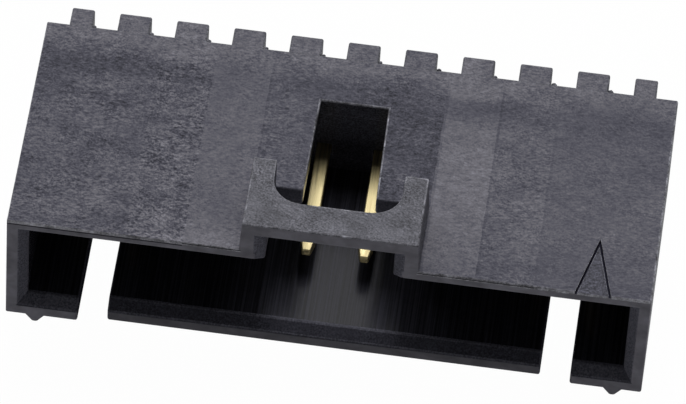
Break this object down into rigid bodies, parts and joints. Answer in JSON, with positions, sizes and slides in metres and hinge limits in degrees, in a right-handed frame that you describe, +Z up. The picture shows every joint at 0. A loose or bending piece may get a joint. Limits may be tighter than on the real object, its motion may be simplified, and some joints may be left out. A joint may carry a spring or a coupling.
{
  "type": "right-angle shrouded pin header",
  "caption": "Right-angle shrouded board header: a black moulded housing with a latch hood, key slots and a back comb, holding a row of bent square gold-plated pins.",
  "frame": {"origin": "on the board's surface, in the middle of the row of tails", "axes": "+X along the row towards the marked pin, +Y from the mouth towards the back, +Z up from the board"},
  "size_m": [0.028, 0.0125, 0.0118],
  "materials": {
    "housing_plastic": "black glass-filled thermoplastic as moulded, with a mottled flow pattern",
    "pin_gold": "drawn square copper-alloy wire with a thin gold plating and fine lengthwise streaks"
  },
  "bodies": {
    "root": {"housing": "housing_plastic", "pin_01": "pin_gold", "pin_02": "pin_gold", "pin_03": "pin_gold", "pin_04": "pin_gold", "pin_05": "pin_gold", "pin_06": "pin_gold", "pin_07": "pin_gold", "pin_08": "pin_gold", "pin_09": "pin_gold", "pin_10": "pin_gold"}
  },
  "joints": []
}
